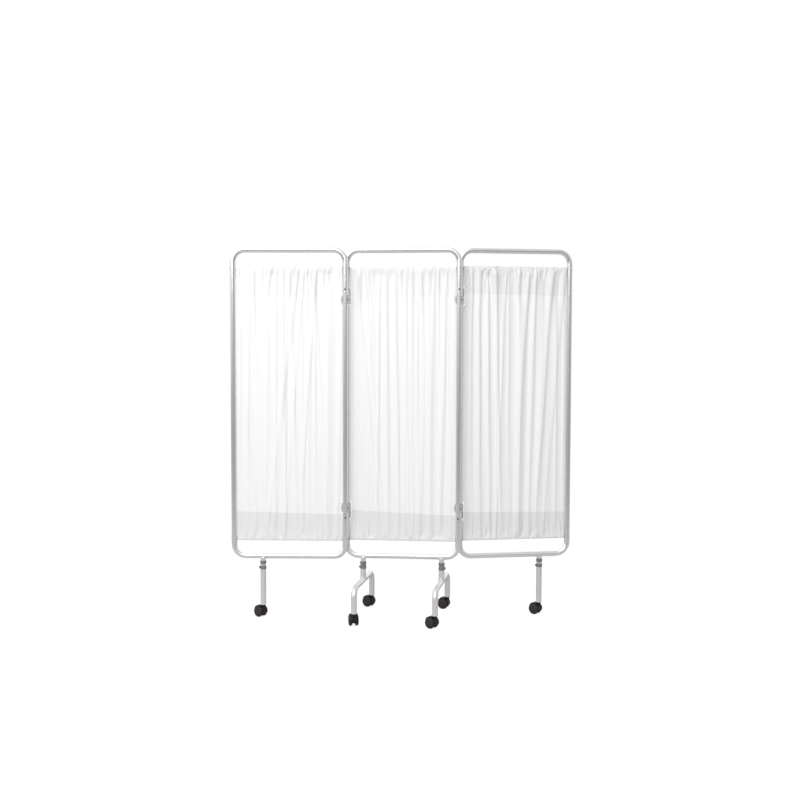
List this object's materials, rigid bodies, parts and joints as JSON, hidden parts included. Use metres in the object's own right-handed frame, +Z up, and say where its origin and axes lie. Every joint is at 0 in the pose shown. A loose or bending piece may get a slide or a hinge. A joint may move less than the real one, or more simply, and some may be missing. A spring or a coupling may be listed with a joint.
{
  "type": "ward privacy screen",
  "caption": "Folding privacy screen: round-tube panels with gathered curtains, hinged by clips at the stiles, on single legs and U-shaped feet with swivelling twin-wheel casters.",
  "frame": {"origin": "on the floor, under the middle of the whole screen's bounding box as it stands in the picture", "axes": "+X to the right along the centre panel seen from the front, +Y away from its front face, +Z up"},
  "size_m": [1.5094, 0.4078, 1.65],
  "materials": {
    "frame_tube": "satin, drawn tube",
    "leg_tube": "satin, slightly darker than the frames",
    "rod_steel": "plain drawn steel",
    "clip_metal": "cast, matt",
    "collar_plastic": "mid grey, fine texture",
    "caster_plastic": "charcoal, slight sheen",
    "wheel_plastic": "charcoal, slight sheen on the disc, duller on the tread",
    "cloth": "white, thin, slightly glossy woven cloth"
  },
  "bodies": {
    "centre": {"centre_frame": "frame_tube", "centre_top_rod": "rod_steel", "centre_bottom_rod": "rod_steel", "centre_curtain": "cloth", "left_foot_stop_collar": "collar_plastic", "right_foot_stop_collar": "collar_plastic"},
    "left_link": {"left_upper_clip": "clip_metal", "left_upper_clip_cap": "clip_metal", "left_lower_clip": "clip_metal", "left_lower_clip_cap": "clip_metal"},
    "left_panel": {"left_frame": "frame_tube", "left_top_rod": "rod_steel", "left_bottom_rod": "rod_steel", "left_curtain": "cloth", "left_leg_stop_collar": "collar_plastic"},
    "left_leg": {"left_leg_lock_ring": "collar_plastic", "left_leg": "leg_tube"},
    "left_leg_caster": {"left_leg_caster_body": "caster_plastic", "left_leg_caster_axle": "rod_steel"},
    "left_leg_wheel_a": {"left_leg_wheel_a": "wheel_plastic"},
    "left_leg_wheel_b": {"left_leg_wheel_b": "wheel_plastic"},
    "right_link": {"right_upper_clip": "clip_metal", "right_upper_clip_cap": "clip_metal", "right_lower_clip": "clip_metal", "right_lower_clip_cap": "clip_metal"},
    "right_panel": {"right_frame": "frame_tube", "right_top_rod": "rod_steel", "right_bottom_rod": "rod_steel", "right_curtain": "cloth", "right_leg_stop_collar": "collar_plastic"},
    "right_leg": {"right_leg_lock_ring": "collar_plastic", "right_leg": "leg_tube"},
    "right_leg_caster": {"right_leg_caster_body": "caster_plastic", "right_leg_caster_axle": "rod_steel"},
    "right_leg_wheel_a": {"right_leg_wheel_a": "wheel_plastic"},
    "right_leg_wheel_b": {"right_leg_wheel_b": "wheel_plastic"},
    "left_foot_ring": {"left_foot_lock_ring": "collar_plastic"},
    "left_foot": {"left_foot": "leg_tube"},
    "left_foot_front_caster": {"left_foot_front_caster_body": "caster_plastic", "left_foot_front_caster_axle": "rod_steel"},
    "left_foot_front_wheel_a": {"left_foot_front_wheel_a": "wheel_plastic"},
    "left_foot_front_wheel_b": {"left_foot_front_wheel_b": "wheel_plastic"},
    "left_foot_rear_caster": {"left_foot_rear_caster_body": "caster_plastic", "left_foot_rear_caster_axle": "rod_steel"},
    "left_foot_rear_wheel_a": {"left_foot_rear_wheel_a": "wheel_plastic"},
    "left_foot_rear_wheel_b": {"left_foot_rear_wheel_b": "wheel_plastic"},
    "right_foot_ring": {"right_foot_lock_ring": "collar_plastic"},
    "right_foot": {"right_foot": "leg_tube"},
    "right_foot_front_caster": {"right_foot_front_caster_body": "caster_plastic", "right_foot_front_caster_axle": "rod_steel"},
    "right_foot_front_wheel_a": {"right_foot_front_wheel_a": "wheel_plastic"},
    "right_foot_front_wheel_b": {"right_foot_front_wheel_b": "wheel_plastic"},
    "right_foot_rear_caster": {"right_foot_rear_caster_body": "caster_plastic", "right_foot_rear_caster_axle": "rod_steel"},
    "right_foot_rear_wheel_a": {"right_foot_rear_wheel_a": "wheel_plastic"},
    "right_foot_rear_wheel_b": {"right_foot_rear_wheel_b": "wheel_plastic"}
  },
  "joints": [
    {"name": "left_link_turn", "type": "hinge", "parent": "centre", "child": "left_link", "pos_m": [-0.24257, -0.00839, 0], "axis": [0, 0, 1], "range_deg": [-150, 16]},
    {"name": "left_panel_turn", "type": "hinge", "parent": "left_link", "child": "left_panel", "pos_m": [-0.24647, -0.03611, 0], "axis": [0, 0, 1], "range_deg": [-15, 150]},
    {"name": "left_leg_slide", "type": "slide", "parent": "left_panel", "child": "left_leg", "axis": [0, 0, 1], "range_m": [-0.025, 0.0045]},
    {"name": "left_leg_caster_swivel", "type": "hinge", "parent": "left_leg", "child": "left_leg_caster", "pos_m": [-0.61407, -0.06182, 0], "axis": [0, 0, 1], "continuous": true},
    {"name": "left_leg_wheel_a_spin", "type": "hinge", "parent": "left_leg_caster", "child": "left_leg_wheel_a", "pos_m": [-0.63252, -0.05737, 0.025], "axis": [0.5299, 0.848, 0], "continuous": true},
    {"name": "left_leg_wheel_b_spin", "type": "hinge", "parent": "left_leg_caster", "child": "left_leg_wheel_b", "pos_m": [-0.62616, -0.04719, 0.025], "axis": [0.5299, 0.848, 0], "continuous": true},
    {"name": "right_link_turn", "type": "hinge", "parent": "centre", "child": "right_link", "pos_m": [0.25443, -0.00839, 0], "axis": [0, 0, 1], "range_deg": [-150, 12]},
    {"name": "right_panel_turn", "type": "hinge", "parent": "right_link", "child": "right_panel", "pos_m": [0.26025, 0.019, 0], "axis": [0, 0, 1], "range_deg": [-15, 154]},
    {"name": "right_leg_slide", "type": "slide", "parent": "right_panel", "child": "right_leg", "axis": [0, 0, 1], "range_m": [-0.025, 0.0045]},
    {"name": "right_leg_caster_swivel", "type": "hinge", "parent": "right_leg", "child": "right_leg_caster", "pos_m": [0.6178, 0.10815, 0], "axis": [0, 0, 1], "continuous": true},
    {"name": "right_leg_wheel_a_spin", "type": "hinge", "parent": "right_leg_caster", "child": "right_leg_wheel_a", "pos_m": [0.59936, 0.1126, 0.025], "axis": [0.5299, 0.848, 0], "continuous": true},
    {"name": "right_leg_wheel_b_spin", "type": "hinge", "parent": "right_leg_caster", "child": "right_leg_wheel_b", "pos_m": [0.60572, 0.12278, 0.025], "axis": [0.5299, 0.848, 0], "continuous": true},
    {"name": "left_foot_slide", "type": "slide", "parent": "centre", "child": "left_foot_ring", "axis": [0, 0, 1], "range_m": [-0.025, 0]},
    {"name": "left_foot_turn", "type": "hinge", "parent": "left_foot_ring", "child": "left_foot", "pos_m": [-0.17007, -0.00839, 0], "axis": [0, 0, 1], "range_deg": [-45, 45]},
    {"name": "left_foot_front_caster_swivel", "type": "hinge", "parent": "left_foot", "child": "left_foot_front_caster", "pos_m": [-0.18836, -0.18243, 0], "axis": [0, 0, 1], "continuous": true},
    {"name": "left_foot_front_wheel_a_spin", "type": "hinge", "parent": "left_foot_front_caster", "child": "left_foot_front_wheel_a", "pos_m": [-0.19882, -0.16659, 0.025], "axis": [0.9659, 0.2588, 0], "continuous": true},
    {"name": "left_foot_front_wheel_b_spin", "type": "hinge", "parent": "left_foot_front_caster", "child": "left_foot_front_wheel_b", "pos_m": [-0.18723, -0.16349, 0.025], "axis": [0.9659, 0.2588, 0], "continuous": true},
    {"name": "left_foot_rear_caster_swivel", "type": "hinge", "parent": "left_foot", "child": "left_foot_rear_caster", "pos_m": [-0.15178, 0.16565, 0], "axis": [0, 0, 1], "continuous": true},
    {"name": "left_foot_rear_wheel_a_spin", "type": "hinge", "parent": "left_foot_rear_caster", "child": "left_foot_rear_wheel_a", "pos_m": [-0.17037, 0.16946, 0.025], "axis": [0.5, 0.866, 0], "continuous": true},
    {"name": "left_foot_rear_wheel_b_spin", "type": "hinge", "parent": "left_foot_rear_caster", "child": "left_foot_rear_wheel_b", "pos_m": [-0.16437, 0.17985, 0.025], "axis": [0.5, 0.866, 0], "continuous": true},
    {"name": "right_foot_slide", "type": "slide", "parent": "centre", "child": "right_foot_ring", "axis": [0, 0, 1], "range_m": [-0.025, 0]},
    {"name": "right_foot_turn", "type": "hinge", "parent": "right_foot_ring", "child": "right_foot", "pos_m": [0.18193, -0.00839, 0], "axis": [0, 0, 1], "range_deg": [-45, 45]},
    {"name": "right_foot_front_caster_swivel", "type": "hinge", "parent": "right_foot", "child": "right_foot_front_caster", "pos_m": [0.16364, -0.18243, 0], "axis": [0, 0, 1], "continuous": true},
    {"name": "right_foot_front_wheel_a_spin", "type": "hinge", "parent": "right_foot_front_caster", "child": "right_foot_front_wheel_a", "pos_m": [0.14545, -0.17702, 0.025], "axis": [0.5736, 0.8192, 0], "continuous": true},
    {"name": "right_foot_front_wheel_b_spin", "type": "hinge", "parent": "right_foot_front_caster", "child": "right_foot_front_wheel_b", "pos_m": [0.15233, -0.16719, 0.025], "axis": [0.5736, 0.8192, 0], "continuous": true},
    {"name": "right_foot_rear_caster_swivel", "type": "hinge", "parent": "right_foot", "child": "right_foot_rear_caster", "pos_m": [0.20022, 0.16565, 0], "axis": [0, 0, 1], "continuous": true},
    {"name": "right_foot_rear_wheel_a_spin", "type": "hinge", "parent": "right_foot_rear_caster", "child": "right_foot_rear_wheel_a", "pos_m": [0.18128, 0.16452, 0.025], "axis": [0.2588, 0.9659, 0], "continuous": true},
    {"name": "right_foot_rear_wheel_b_spin", "type": "hinge", "parent": "right_foot_rear_caster", "child": "right_foot_rear_wheel_b", "pos_m": [0.18439, 0.17611, 0.025], "axis": [0.2588, 0.9659, 0], "continuous": true}
  ]
}
